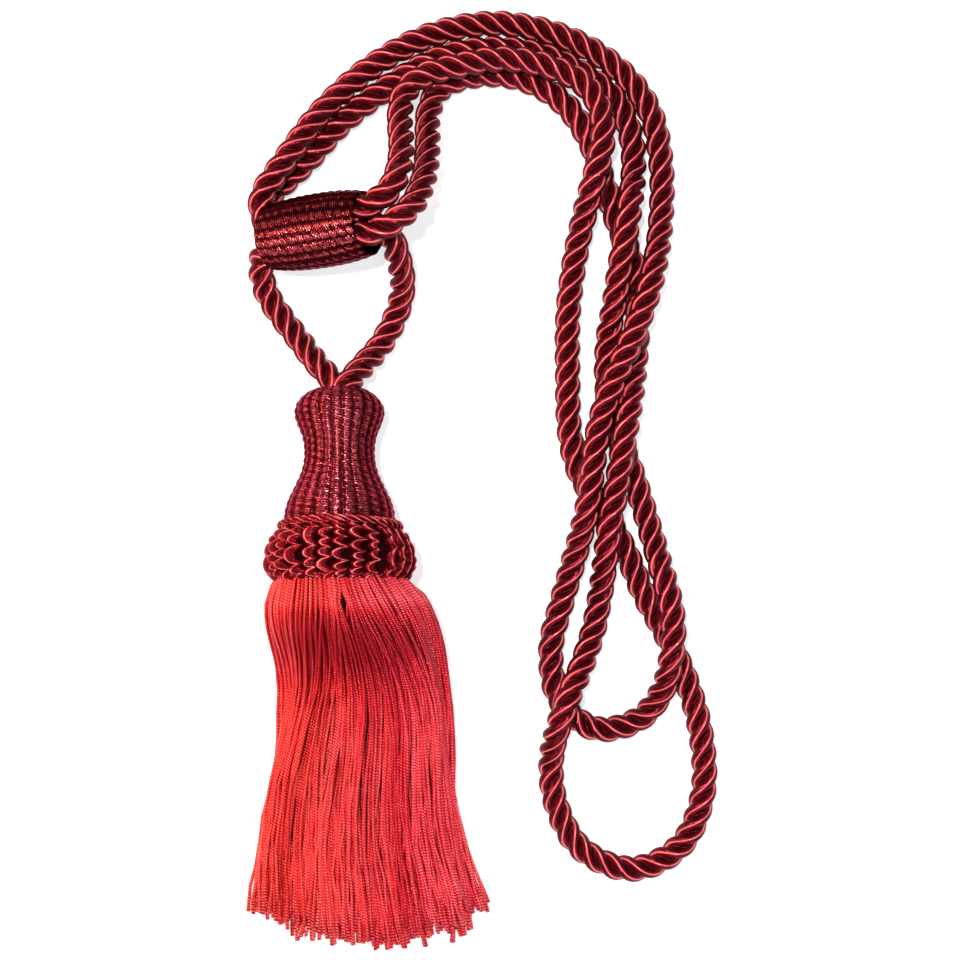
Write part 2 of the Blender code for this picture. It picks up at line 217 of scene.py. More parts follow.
SLIDER_CENTRE = (-8.2 * MM, 123.4 * MM, 23.0 * MM)
SLIDER_TILT = math.radians(28)
SLIDER_YAW = math.radians(4.8)
PASS_RADIUS = 5.8 * MM          # from the slider's axis to a strand inside it
MOUTH_RADIUS = 5.9 * MM         # and to a strand where it enters the left mouth
TASSEL_TILT = math.radians(9.5)
AXIS_HEIGHT = 27.2 * MM         # of the tassel's axis under the collar
HEAD_TOP = 64.9                 # mm along that axis, where the rope enters the head
ROPE_END = 60.5                 # and where its ends stop inside it


def tassel_matrix():
    """Local Z runs up the tassel's axis towards its head, local X stays across."""
    turn = Matrix.Rotation(-(math.pi / 2 + TASSEL_TILT), 4, "X")
    return Matrix.Translation((0, 0, AXIS_HEIGHT)) @ turn


def slider_matrix():
    """Local Z runs along the barrel to its raised right mouth, local Y is away from the tassel."""
    turn = Matrix.Rotation(SLIDER_YAW, 4, "Z") @ Matrix.Rotation(math.pi / 2 - SLIDER_TILT, 4, "Y")
    return Matrix.Translation(SLIDER_CENTRE) @ turn


def in_slider(along, degrees, radius=PASS_RADIUS):
    """A point of a rope's pass, by its station in mm and its angle around the barrel."""
    angle = math.radians(degrees)
    return slider_matrix() @ Vector((-radius * math.sin(angle), radius * math.cos(angle), along * MM))


def in_head(across, height, station=HEAD_TOP):
    """A point where a leg of the rope is let into the top of the head, in mm."""
    return tassel_matrix() @ Vector((across * MM, -height * MM, station * MM))


def lying(*points):
    """Points of the rope's route given in mm from the origin."""
    return [Vector(point) * MM for point in points]


LEFT_LEG = [in_head(-0.8, -4.6, ROPE_END), in_head(-1.4, -4.6)] + lying(
    (-3, 66.7, 11.8), (-9.2, 73.4, 10), (-17.3, 83.8, 5.6), (-25.8, 95, 4.9),
    (-30.2, 102.5, 5.6), (-31.6, 109.8, 9.2), (-30.5, 116, 13))
FIRST_PASS = [in_slider(-19.8, 150, MOUTH_RADIUS), in_slider(-10, 146), in_slider(5, 142), in_slider(19, 140)]
OUTER_LOOP = lying(
    (15.5, 122, 38.4), (21.5, 125.5, 39), (27.5, 131.5, 35.5), (31.5, 143.5, 26), (32.5, 157, 16),
    (32.5, 170.5, 7.4), (36, 179.5, 4.9), (43.5, 184, 4.8), (58, 186, 4.8), (72, 183, 4.8),
    (85, 174.5, 4.8), (94.5, 160.5, 4.8), (99.5, 145.5, 4.8), (105.5, 128, 4.8), (111.5, 111.5, 4.8),
    (113, 93.5, 4.8), (112, 75, 5.2), (110, 61, 11), (107.5, 47.5, 15), (104, 26, 15),
    (101.5, 12.5, 15), (100.2, 1, 12.6), (98.4, -15, 5), (95.8, -28.5, 4.9), (91, -42, 9.7),
    (86, -52.5, 14.9), (82.2, -63.5, 14.2), (79.6, -78.5, 5.2), (81.2, -94, 4.8), (91, -112, 4.8),
    (111, -120, 4.8), (129.5, -111, 4.8), (138, -91.5, 4.8), (137.5, -69, 4.8),
    (132, -48, 4.8), (124.5, -31, 4.8), (115, -13.5, 4.8), (109, 1, 4.8), (101, 16, 4.8),
    (91, 31.5, 4.8), (87, 46.5, 4.8), (86, 71.5, 4.8), (86.3, 95.5, 4.8), (89.1, 116.5, 5),
    (92.1, 131, 9), (95.3, 143.5, 14.8), (98.5, 155, 15), (98.5, 169.5, 14.7), (92.5, 180, 14),
    (79, 187, 13.8), (60.5, 190, 14), (42.5, 187, 14.4), (30.5, 183.5, 14.4), (23.4, 176.5, 15.4),
    (22, 166.5, 19.5), (23, 155, 27.3), (22.4, 145.5, 33.8), (19.2, 137, 37.2), (13, 132, 36.8))
SECOND_PASS = [in_slider(18.5, 20), in_slider(5, 23), in_slider(-10, 28), in_slider(-20, 31, MOUTH_RADIUS)]
INNER_LOOP = lying(
    (-30, 129.6, 14.8), (-31.2, 134, 15), (-30.3, 138.8, 15), (-26.9, 144, 15), (-21.2, 152.3, 14.2),
    (-8.6, 170.3, 9.5), (10.4, 188.7, 5.2), (34.5, 201.5, 4.8), (60, 205.5, 4.8), (87, 199.5, 4.8),
    (106.3, 187.3, 4.8), (117.4, 172.7, 4.8), (121.8, 154, 4.8), (121.8, 129, 6), (117.2, 104.2, 14.4),
    (109.8, 83, 15), (101.7, 64, 15), (97.3, 49, 14.5), (95, 33.5, 14.9), (93, 19, 15),
    (89.5, 4, 9), (84.5, -14.5, 4.8), (79.5, -35.5, 4.8), (83, -55, 4.8), (96.5, -66, 4.8),
    (113, -62.5, 5.2), (121.5, -52, 9), (124.6, -40, 14.4),
    (125.8, -28, 15), (124.9, -17.5, 14.2), (122.4, -7, 11.2), (119.8, 3.5, 6), (111.3, 31.5, 4.8),
    (105, 48.5, 4.8), (101.3, 64.5, 4.8), (101.6, 84.5, 5.3), (103.5, 96.5, 10.3), (105.6, 111.5, 14.6),
    (107.8, 124, 15), (109.5, 135, 13.4), (111.3, 148, 6), (110.8, 160.5, 4.8), (105.2, 175.2, 4.8),
    (92.8, 185.7, 4.8), (77.5, 193, 4.8), (58, 195.8, 4.8), (39, 193, 4.8), (21.5, 184, 4.8),
    (-0.8, 167.6, 4.8), (-15.3, 151.6, 4.8), (-23.6, 143.9, 4.8), (-29.2, 138.4, 4.9),
    (-31.5, 132.5, 4.9), (-29.5, 127, 5.5))
THIRD_PASS = [in_slider(-19.8, 268, MOUTH_RADIUS), in_slider(-10, 264), in_slider(5, 261), in_slider(19, 260)]
RIGHT_LEG = lying(
    (17.3, 122.7, 28.6), (20.1, 118.3, 25.2), (21.9, 112, 19.5), (22.8, 104, 10.5), (20.4, 94, 5.6),
    (14.4, 81.8, 7.5), (7.5, 73, 14), (3, 67, 19.6)) + [in_head(1.3, 4.7), in_head(0.4, 4.7, ROPE_END)]
ROUTE = LEFT_LEG + FIRST_PASS + OUTER_LOOP + SECOND_PASS + INNER_LOOP + THIRD_PASS + RIGHT_LEG


def smooth_line(points, step, floor=None):
    """Points at equal steps along a smooth curve through the given ones, none of them below the floor."""
    points = [Vector(point) for point in points]
    knots = [0.0]
    for here, there in zip(points, points[1:]):
        knots.append(knots[-1] + math.sqrt((there - here).length))
    slopes = []
    last = len(points) - 1
    for i in range(last + 1):
        if i in (0, last):
            j = min(i, last - 1)
            slopes.append((points[j + 1] - points[j]) / (knots[j + 1] - knots[j]))
            continue
        before = knots[i] - knots[i - 1]
        after = knots[i + 1] - knots[i]
        back = (points[i] - points[i - 1]) / before
        ahead = (points[i + 1] - points[i]) / after
        slopes.append((back * after + ahead * before) / (before + after))
    fine = []
    for i in range(last):
        span = knots[i + 1] - knots[i]
        for k in range(CURVE_STEPS):
            t = k / CURVE_STEPS
            fine.append(points[i] * (2 * t**3 - 3 * t**2 + 1) + slopes[i] * span * (t**3 - 2 * t**2 + t)
                        + points[i + 1] * (3 * t**2 - 2 * t**3) + slopes[i + 1] * span * (t**3 - t**2))
    fine = np.array(fine + [points[-1]])
    if floor is not None:
        fine[:, 2] = np.maximum(fine[:, 2], floor)
    travelled = np.concatenate([[0], np.cumsum(np.linalg.norm(np.diff(fine, axis=0), axis=1))])
    even = np.linspace(0, travelled[-1], max(2, round(travelled[-1] / step) + 1))
    return np.stack([np.interp(even, travelled, fine[:, axis]) for axis in range(3)], axis=1)


def carried_frames(line):
    """Two directions square to the line at each point, carried along it without any twist."""
    ahead = np.gradient(line, axis=0)
    ahead /= np.linalg.norm(ahead, axis=1)[:, None]
    first = np.cross(ahead[0], (0.0, 0.0, 1.0))
    if np.linalg.norm(first) < 0.1:
        first = np.cross(ahead[0], (0.0, 1.0, 0.0))
    sides = [first / np.linalg.norm(first)]
    for direction in ahead[1:]:
        side = sides[-1] - direction * np.dot(sides[-1], direction)
        sides.append(side / np.linalg.norm(side))
    sides = np.array(sides)
    return sides, np.cross(ahead, sides)


def tube_faces(count, around):
    """The quads between the rings of a closed tube, and the caps on its first and its last ring."""
    i = np.arange(count - 1)[:, None] * around
    j = np.arange(around)[None, :]
    k = (j + 1) % around
    quads = np.stack([i + j, i + k, i + around + k, i + around + j], axis=2).reshape(-1, 4)
    first_cap = list(range(around))[::-1]
    last_cap = list(range((count - 1) * around, count * around))
    return quads, [first_cap, last_cap]


def swept_tube(line, section, turns, widths):
    """Points, quads and caps of a tube: a section carried along a line, turned and widened on its way."""
    side, other = carried_frames(line)
    c, s = np.cos(turns)[:, None], np.sin(turns)[:, None]
    x = (c * section[:, 0] - s * section[:, 1]) * widths[:, None]
    y = (s * section[:, 0] + c * section[:, 1]) * widths[:, None]
    rings = line[:, None, :] + x[:, :, None] * side[:, None, :] + y[:, :, None] * other[:, None, :]
    return rings.reshape(-1, 3), *tube_faces(len(line), len(section))


class Cords:
    """Cords or threads gathered into one mesh."""

    def __init__(self):
        self.points, self.quads, self.caps, self.maps = [], [], [], {}
        self.count = 0

    def add(self, points, quads, caps, maps):
        """One more cord, with its UV maps given corner by corner of its quads."""
        self.points.append(points)
        self.quads.append(quads + self.count)
        self.caps += [[index + self.count for index in cap] for cap in caps]
        for name, corners in maps.items():
            self.maps.setdefault(name, []).append(corners)
        self.count += len(points)

    def piece(self, name):
        """A smooth-shaded object of all the cords."""
        mesh = bpy.data.meshes.new(name)
        faces = np.concatenate(self.quads).tolist() + self.caps
        mesh.from_pydata(np.concatenate(self.points).tolist(), [], faces)
        cap_corners = sum(len(cap) for cap in self.caps)
        for map_name, parts in self.maps.items():
            corners = np.concatenate([part.reshape(-1) for part in parts] + [np.zeros(2 * cap_corners)])
            mesh.uv_layers.new(name=map_name).data.foreach_set("uv", corners)
        mesh.update()
        mesh.shade_smooth()
        piece = bpy.data.objects.new(name, mesh)
        bpy.context.scene.collection.objects.link(piece)
        return piece


def rest_on_table(piece, height):
    """Flattens a soft piece where it would go below a height."""
    places = np.empty(len(piece.data.vertices) * 3)
    piece.data.vertices.foreach_get("co", places)
    places[2::3] = np.maximum(places[2::3], height)
    piece.data.vertices.foreach_set("co", places)
    piece.data.update()


def ply_section():
    """The rope's section: three plies drawn out along the girth, pressed together in deep valleys.

    Returns its points, their distances from the ply's crest and their turns round the ply's own middle.
    """
    outline, across, round_ply = [], [], []
    for ply in range(PLIES):
        for k in range(POINTS_PER_PLY):
            angle = (k / POINTS_PER_PLY - 0.5) * 2 * math.pi / PLIES
            squash = (PLY_DEPTH / PLY_WIDTH) ** 2
            reach = 2 * PLY_DEPTH * math.cos(angle) / (math.cos(angle) ** 2 + squash * math.sin(angle) ** 2)
            turn = angle + 2 * math.pi * ply / PLIES
            outline.append((reach * math.cos(turn), reach * math.sin(turn)))
            across.append(reach * math.sin(angle))
            round_ply.append(math.atan2(reach * math.sin(angle), reach * math.cos(angle) - PLY_DEPTH))
    return np.array(outline), np.array(across), np.array(round_ply)


def laid_cord(line, scale, up=(0.0, 0.0, 1.0)):
    """A three-ply cord along a line: points, quads, caps and two maps for its thread, in mm of the full rope.

    The map "lay" holds the place along the thread's winding and the distance from the ply's crest. The map
    "line" holds the distance from the painted line of light, a painted highlight, which runs between the
    crest and the uppermost place.
    """
    section, across_ply, round_ply = ply_section()
    lay_turns = np.arange(len(line)) * 2 * math.pi / RINGS_PER_LAY
    points, quads, caps = swept_tube(line, section * scale, lay_turns, np.ones(len(line)))
    lay_slope = math.atan2(2 * math.pi * PLY_MIDDLE, ROPE_LAY)
    place_in = quads % len(section)
    closing = (place_in[:, [0, 3]] % POINTS_PER_PLY) == POINTS_PER_PLY - 1
    across_corner = across_ply[place_in]
    across_corner[:, 1:3] = np.where(closing, -across_ply[0], across_corner[:, 1:3])
    along_corner = quads // len(section) * (ROPE_LAY / RINGS_PER_LAY)
    thread_place = along_corner * math.cos(lay_slope) + across_corner * math.sin(lay_slope)
    lay_map = np.stack([thread_place, across_corner], axis=2) / MM

    side, other = carried_frames(line)
    up_turn = np.arctan2(other @ np.array(up), side @ np.array(up))
    round_corner = round_ply[place_in]
    round_corner[:, 1:3] = np.where(closing, -round_ply[0], round_corner[:, 1:3])
    ply_of = place_in[:, :1] // POINTS_PER_PLY
    crest = (lay_turns - up_turn)[quads // len(section)] + ply_of * 2 * math.pi / PLIES
    step = crest - crest[:, :1]
    step -= np.round(step / (2 * math.pi)) * 2 * math.pi
    crest = crest[:, :1] - np.round(crest[:, :1] / (2 * math.pi)) * 2 * math.pi + step
    from_painted_line = ((1 - PAINTED_LINE_TURN) * crest + round_corner) * PLY_DEPTH / MM
    painted_line_map = np.stack([from_painted_line, 0 * from_painted_line], axis=2)
    return points, quads, caps, {"lay": lay_map, "line": painted_line_map}


route_line = smooth_line(ROUTE, ROPE_LAY / RINGS_PER_LAY, ROPE_REST)
for _ in range(EASING_PASSES):
    route_line[1:-1] = (route_line[:-2] + 2 * route_line[1:-1] + route_line[2:]) / 4
rope_cord = Cords()
rope_cord.add(*laid_cord(route_line, 1))
rope = rope_cord.piece("twisted_rope")
rest_on_table(rope, 0)


def satin_cord(name, deep, red, lit, thread_rise, patchy, metal):
    """Rayon thread wound round a ply: a painted line of light on the ply,
    and painted shade, nearly black, in the valleys.
    """
    finish = Finish(name, 0.22)
    along = finish.uv("lay")[0]
    from_painted_line = finish.uv("line")[0]
    # The base colour paints the light and shade: a painted highlight along the line, a red halo beside it,
    # and painted shade, nearly black, towards the valleys.
    shade = (from_painted_line / PAINTED_LINE_REACH).size() + (finish.noise(300.0) - 0.5) * patchy
    darkest = tuple(part * 0.5 for part in deep)
    painted_line_tones = finish.ramp(shade, (0.045, lit), (0.125, red), (0.34, deep), (0.85, darkest))
    finish.feed("Base Color", painted_line_tones)
    threads = (along * (2 * math.pi / PLY_THREAD)).sin()
    finish.bump(threads * 0.5, thread_rise)
    finish.feed("Metallic", finish.ramp(shade, (0.10, (0.1, 0.1, 0.1)), (0.25, (metal, metal, metal))))
    finish.feed("Specular IOR Level", 0.2)
    finish.feed("Specular Tint", (1, 0.45, 0.5, 1))
    return finish.material


rope.data.materials.append(satin_cord(
    "satin_rope_painted_line", deep=(0.110, 0.005, 0.010), red=(0.35, 0.014, 0.022), lit=(0.68, 0.195, 0.205),
    thread_rise=0.065 * MM, patchy=0.16, metal=0.6))
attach(rope, "root")
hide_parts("rope")

# ---------------------------------------------------------------------------------------------------------
# The slider: a turned wooden barrel covered with cords laid lengthwise side by side, each one made of short
# slanting wraps of thread. The cords turn in over both mouths and end inside the bore.
SLIDER_HALF = 21.7 * MM         # half its length
SLIDER_BELLY = 14.1 * MM        # its radius at the middle
SLIDER_MOUTH = 12.2 * MM        # at the ends
SLIDER_BORE = 10.9 * MM         # and inside
SLIDER_RIBS = 22
SLIDER_WRAP = 3.6               # mm of a rib that one wrap of thread takes
SLIDER_SLANT = -0.35            # wraps by which one that crosses its rib moves on
COLUMNS_PER_RIB = 9


def turned_shell(name, rings, columns, closed_on_itself=False):
    """A shell turned about Z, ring after ring of (radius, station), with flat ends or closed on itself."""
    bpy.ops.object.select_all(action="DESELECT")
    radius, station = rings[0]
    bpy.ops.mesh.primitive_circle_add(vertices=columns, radius=radius, location=(0, 0, station))
    shell = bpy.context.active_object
    shell.name = name
    bpy.ops.object.transform_apply(location=True, rotation=True, scale=True)
    bpy.ops.object.mode_set(mode="EDIT")
    bpy.ops.mesh.select_all(action="SELECT")
    for next_radius, next_station in rings[1:]:
        bpy.ops.mesh.extrude_edges_move(TRANSFORM_OT_translate={"value": (0, 0, next_station - station)})
        ratio = next_radius / radius
        bpy.ops.transform.resize(value=(ratio, ratio, 1), center_override=(0, 0, next_station))
        radius, station = next_radius, next_station
    if closed_on_itself:
        bpy.ops.mesh.select_all(action="DESELECT")
        bpy.ops.mesh.select_non_manifold()
        bpy.ops.mesh.bridge_edge_loops()
    else:
        bpy.ops.mesh.edge_face_add()
        bpy.ops.mesh.select_all(action="DESELECT")
        bpy.ops.mesh.select_non_manifold()
        bpy.ops.mesh.edge_face_add()
    bpy.ops.mesh.select_all(action="SELECT")
    bpy.ops.mesh.normals_make_consistent(inside=False)
    bpy.ops.object.mode_set(mode="OBJECT")
    return shell


def wind_ribs(shell, ribs, rise, wrap, wrap_rise, slant, where, painted_light_side):
    """Raises lengthwise ribs and, on each, short slanting wraps, where the radius and station call for them.

    The map "winding" holds the place counted in ribs and the station in mm. The map "facing" says how far a
    place faces the side of painted light, a direction in the shell's own frame, by which shade is painted.
    """
    mesh = shell.data
    points = np.empty(len(mesh.vertices) * 3)
    mesh.vertices.foreach_get("co", points)
    points = points.reshape(-1, 3)
    radius = np.hypot(points[:, 0], points[:, 1])
    angle = np.arctan2(points[:, 1], points[:, 0])
    share = angle * ribs / (2 * math.pi)
    off = share - np.round(share)
    rib = np.round(share).astype(int) % ribs
    first_wrap = 0.37 * rib + 0.11 * np.sin(2.3 * rib)
    wraps = points[:, 2] / wrap + slant * off + first_wrap
    bead = np.abs(np.sin(math.pi * wraps)) ** 0.7
    swell = 1 - np.abs(2 * off) ** 2.4
    raised = rise * (swell - 1) + wrap_rise * (bead - 1) * swell
    new_radius = radius + np.where(where(radius, points[:, 2]), raised, 0)
    scale = new_radius / np.maximum(radius, 1e-9)
    points[:, :2] *= scale[:, None]
    mesh.vertices.foreach_set("co", points.reshape(-1))
    corner_vertex = np.empty(len(mesh.loops), dtype=np.int32)
    mesh.loops.foreach_get("vertex_index", corner_vertex)
    winding = np.stack([share[corner_vertex], points[corner_vertex, 2] / MM], axis=1)
    # a face that crosses the seam of the angle keeps its ribs running on
    counts = np.empty(len(mesh.polygons), dtype=np.int32)
    mesh.polygons.foreach_get("loop_total", counts)
    ends = np.cumsum(counts)
    for start, end in zip(ends - counts, ends):
        part = winding[start:end, 0]
        if part.max() - part.min() > ribs / 2:
            part[part < 0] += ribs
    mesh.uv_layers.new(name="winding").data.foreach_set("uv", winding.reshape(-1))
    facing = np.cos(angle - math.atan2(painted_light_side[1], painted_light_side[0]))[corner_vertex]
    mesh.uv_layers.new(name="facing").data.foreach_set("uv", np.repeat(facing, 2))
    mesh.update()
    mesh.shade_smooth()


def wound_thread(name, deep, red, lit, wrap, slant, thread, painted_shade_falloff):
    """Thread in short slanting wraps, with painted light and shade: a painted highlight on the crests, and
    painted shade, nearly black, between them and on the side away from the painted light.

    A wrap and a thread are given by the length of rib that they take, in mm.
    """
    finish = Finish(name, 0.26)
    share, station = finish.uv("winding")
    off = share - (share + 0.5).maths("FLOOR")
    painted_rib_edge_shade = (off * 2).size() ** 1.6
    patch = finish.noise(900.0, 3.0)
    wander = finish.noise(330.0)
    wound = station + off * (slant * wrap) + wander
    threads = (wound * (2 * math.pi / thread)).sin() * 0.5 + 0.5
    wraps = (wound * (2 * math.pi / wrap) + (share + 0.5).maths("FLOOR") * 2.3).sin() * 0.5 + 0.5
    away = 1 - finish.uv("facing")[0]
    # Painted light and shade: darker at the rib edges and between threads and wraps, lighter on their crests,
    # and darker the further a place faces away from the painted light side.
    shade = painted_rib_edge_shade * 0.58 + patch * 1.2 - threads * 0.30 - wraps * 0.28 - 0.36 + away * painted_shade_falloff
    finish.feed("Base Color", finish.ramp(shade, (0.0, lit), (0.25, red), (0.70, deep)))
    finish.bump(threads, 0.20 * MM)
    finish.feed("Metallic", 0.93)
    finish.feed("Specular IOR Level", 0.3)
    finish.feed("Specular Tint", (1, 0.45, 0.5, 1))
    return finish.material


half_wall = (SLIDER_MOUTH - SLIDER_BORE) / 2
mouth_rings = [(SLIDER_BORE + 0.25 * MM, SLIDER_HALF - 0.1 * MM)]
for lip_turn in np.linspace(80, 0, 6):
    drawn_in = half_wall * (1 - math.cos(math.radians(lip_turn))) * 1.2
    drawn_back = half_wall * (1 - math.sin(math.radians(lip_turn)))
    mouth_rings.append((SLIDER_MOUTH - drawn_in, SLIDER_HALF - drawn_back))
barrel_rings = []
for share in np.linspace(0.955, -0.955, 84):
    barrel_radius = SLIDER_BELLY - (SLIDER_BELLY - SLIDER_MOUTH) * abs(share) ** 2.4
    barrel_rings.append((barrel_radius, share * SLIDER_HALF))
other_mouth_rings = [(radius, -station) for radius, station in mouth_rings[::-1]]
bore_rings = [(SLIDER_BORE, share * SLIDER_HALF) for share in np.linspace(-0.93, 0.93, 10)]
slider = turned_shell("slider_barrel", mouth_rings + barrel_rings + other_mouth_rings + bore_rings,
                      SLIDER_RIBS * COLUMNS_PER_RIB, closed_on_itself=True)
wind_ribs(slider, SLIDER_RIBS, rise=0.50 * MM, wrap=SLIDER_WRAP * MM, wrap_rise=0.40 * MM, slant=SLIDER_SLANT,
          where=lambda radius, station: radius > SLIDER_BORE + 0.1 * MM,
          painted_light_side=slider_matrix().to_3x3().inverted() @ Vector((0, -0.25, 1)))
slider.data.transform(slider_matrix())
slider.data.materials.append(wound_thread(
    "slider_thread_painted_shade", deep=(0.012, 0.001, 0.002), red=(0.05, 0.002, 0.005), lit=(0.46, 0.070, 0.075),
    wrap=SLIDER_WRAP, slant=SLIDER_SLANT, thread=1.0, painted_shade_falloff=0.85))
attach(slider, "root")
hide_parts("slider")

# ---------------------------------------------------------------------------------------------------------
# The head: a turned wooden mould with a waist, covered from top to foot with the same kind of cord in
# twenty-four lengthwise ribs. The rope's two ends are glued into a hole in its top.
HEAD_RIBS = 24
HEAD_WRAP = 2.7
HEAD_SLANT = 0.25
HEAD_HOLE = 8 * MM              # radius at the top within which no ribs are raised
HEAD_SHIFT = -0.2 * MM          # across the tassel's axis
HEAD_LEAN = -0.012              # about a line square to the table, in radians
HEAD_PROFILE = [                # station, radius, in mm
    (65.0, 6.0), (64.6, 9.5), (64.0, 11.5), (62.6, 13.6), (61.0, 15.2), (59.0, 16.5), (56.8, 17.2),
    (54.5, 17.1), (51.0, 15.9), (47.5, 14.4), (44.0, 13.6), (40.0, 13.4), (36.0, 13.8), (32.0, 15.0),
    (27.0, 17.3), (22.0, 19.7), (18.0, 20.8), (13.4, 21.2), (9.0, 21.2),
]
profile_stations = [row[0] for row in HEAD_PROFILE][::-1]
profile_radii = [row[1] for row in HEAD_PROFILE][::-1]
head_rings = []
for station in [65.0, 64.9, 64.7, 64.4, 64.0, 63.5] + list(np.arange(63.0, 9.0, -0.45)):
    head_rings.append((np.interp(station, profile_stations, profile_radii) * MM, station * MM))
world_up = tassel_matrix().to_3x3().inverted() @ Vector((0, 0, 1))
head = turned_shell("wound_head", head_rings, HEAD_RIBS * COLUMNS_PER_RIB)
wind_ribs(head, HEAD_RIBS, rise=0.75 * MM, wrap=HEAD_WRAP * MM, wrap_rise=0.42 * MM, slant=HEAD_SLANT,
          where=lambda radius, station: radius > HEAD_HOLE, painted_light_side=world_up)
head_lean = Matrix.Translation((HEAD_SHIFT, 0, 0)) @ Matrix.Rotation(HEAD_LEAN, 4, "Y")
head.data.transform(tassel_matrix() @ head_lean)
head.data.materials.append(wound_thread(
    "head_thread", deep=(0.048, 0.004, 0.008), red=(0.17, 0.011, 0.018), lit=(0.50, 0.080, 0.100),
    wrap=HEAD_WRAP, slant=HEAD_SLANT, thread=0.95, painted_shade_falloff=0.72))
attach(head, "root")
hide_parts("tassel_head")

# ---------------------------------------------------------------------------------------------------------
# The collar: a ruff of crimped cord. Thick satin cords zigzag from the head's foot over a padded ring and are
# tucked in above the skirt, with dark gaps between them, and one more cord runs round the head's foot. The
# ring is coloured near black, which paints the shade in the gaps.
COLLAR_COLUMNS = 26
CRIMP_SECTION = [               # a ridge towards one side, a long slope towards the other, in mm
    (2.9, -0.4), (2.6, 0.6), (1.8, 1.4), (0.6, 1.9), (-0.6, 2.2), (-1.4, 1.7), (-1.9, 0.9), (-2.1, 0.1),
    (-2.0, -0.7), (-0.8, -1.3), (1.0, -1.3), (2.2, -1.0),
]
RIDGE_DISTANCES = [             # of the same points, round the section from the crest of the ridge, in mm
    3.9, 2.9, 1.9, 0.9, 0.0, -0.8, -1.6, -2.4, -3.2, -4.0, -4.0, 4.0,
]
RIDGE_SHARPNESS = 2.2           # how much narrower than the rope's its painted line of light is
CRIMP_FINENESS = 1.35           # how much finer its thread is
CRIMP_SWING = 1.5 * MM          # sideways, each way
CRIMP_TOOTH = 4.6 * MM          # length of one fold
PADDING_DEPTH = 3.4             # mm from the cords' crests in to the padding
FOOT_CORD_RADIUS = 22.2 * MM
FOOT_CORD_STATION = 12.6 * MM
FOOT_CORD_SCALE = 0.30          # of the rope's thickness
FOOT_CORD_RINGS = 340
COLLAR_PROFILE = [              # station, radius, in mm
    (12.2, 20.2), (11.8, 22.2), (10.6, 24.2), (8.6, 26.0), (5.8, 27.4), (2.4, 28.4), (-0.8, 28.8),
    (-3.8, 28.3), (-6.4, 26.8), (-8.4, 24.4), (-9.4, 21.8),
]
padding_rings = [((radius - PADDING_DEPTH) * MM, (station - 0.3) * MM) for station, radius in COLLAR_PROFILE]
padding = turned_shell("collar_padding", padding_rings, 96)
padding.data.transform(tassel_matrix())
rest_on_table(padding, 0.5 * MM)
padding.data.shade_smooth()
# The padding is coloured near black, as painted shade for the gaps between the cords.
padding_finish = Finish("collar_padding_painted_shade", 1.0)
padding_shade = padding_finish.noise(500.0)
painted_shade_padding = padding_finish.ramp(padding_shade, (0.3, (0.006, 0.0005, 0.001)), (0.8, (0.020, 0.001, 0.002)))
padding_finish.feed("Base Color", painted_shade_padding)
padding_finish.feed("Specular IOR Level", 0.05)
padding.data.materials.append(padding_finish.material)
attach(padding, "root")

profile_line = smooth_line([(radius * MM, 0, station * MM) for station, radius in COLLAR_PROFILE], 0.42 * MM)
profile_run = np.arange(len(profile_line)) * np.linalg.norm(profile_line[1] - profile_line[0])
profile_ahead = np.gradient(profile_line, axis=0)
profile_ahead /= np.linalg.norm(profile_ahead, axis=1)[:, None]
outward = np.stack([-profile_ahead[:, 2], profile_ahead[:, 0]], axis=1)


def crimped_cord(places, angles):
    """Points, quads and caps of one flat cord, with its rings round places of (radius, station)."""
    across, height = np.array(CRIMP_SECTION).T * MM
    radius = places[:, :1] + outward[:, :1] * height
    station = places[:, 1:] + outward[:, 1:] * height
    turn = angles[:, None] + across / places[:, :1]
    points = np.stack([radius * np.cos(turn), radius * np.sin(turn), station], axis=2)
    return points.reshape(-1, 3), *tube_faces(len(places), len(CRIMP_SECTION))


random.seed(7)
collar_cords = Cords()
for column in range(COLLAR_COLUMNS):
    angle = 2 * math.pi * (column + 0.22 * random.uniform(-1, 1)) / COLLAR_COLUMNS
    pace = random.uniform(0.8, 1.25)
    uneven_pace = 0.3 * np.sin(profile_run / (3.4 * MM) + 2.1 * column)
    teeth = profile_run / (CRIMP_TOOTH * pace) + uneven_pace + random.uniform(0, 1)
    bulge = np.sin(math.pi * (teeth - np.floor(teeth))) ** 0.8
    tooth = 1 - 2 * bulge
    ease = np.clip(np.minimum(profile_run, profile_run[-1] - profile_run) / (3 * MM), 0.3, 1)
    uneven_swing = 1 + 0.35 * np.sin(profile_run / (3.1 * MM) + 2 * column)
    swing = CRIMP_SWING * random.uniform(0.7, 1.2) * uneven_swing
    sink = (2.1 * MM + 0.8 * MM * (1 - bulge) * ease)[:, None]
    places = profile_line[:, [0, 2]] - outward * sink
    points, quads, caps = crimped_cord(places, angle + swing * tooth * ease / places[:, 0])
    ring, corner = quads // len(CRIMP_SECTION), quads % len(CRIMP_SECTION)
    # The painted line of light follows the ridge and is moved off it where the cord swings furthest to one
    # side, so that it breaks there.
    from_ridge = np.array(RIDGE_DISTANCES)[corner] - np.maximum(0, tooth + 0.2)[ring]
    from_painted_line = from_ridge * RIDGE_SHARPNESS
    thread_place = profile_run[ring] * CRIMP_FINENESS / MM
    lay_map = np.stack([thread_place, from_painted_line], axis=2)
    painted_line_map = np.stack([from_painted_line, 0 * from_painted_line], axis=2)
    collar_cords.add(points, quads, caps, {"lay": lay_map, "line": painted_line_map})
foot_turns = np.linspace(-0.55, 1.55, FOOT_CORD_RINGS) * math.pi
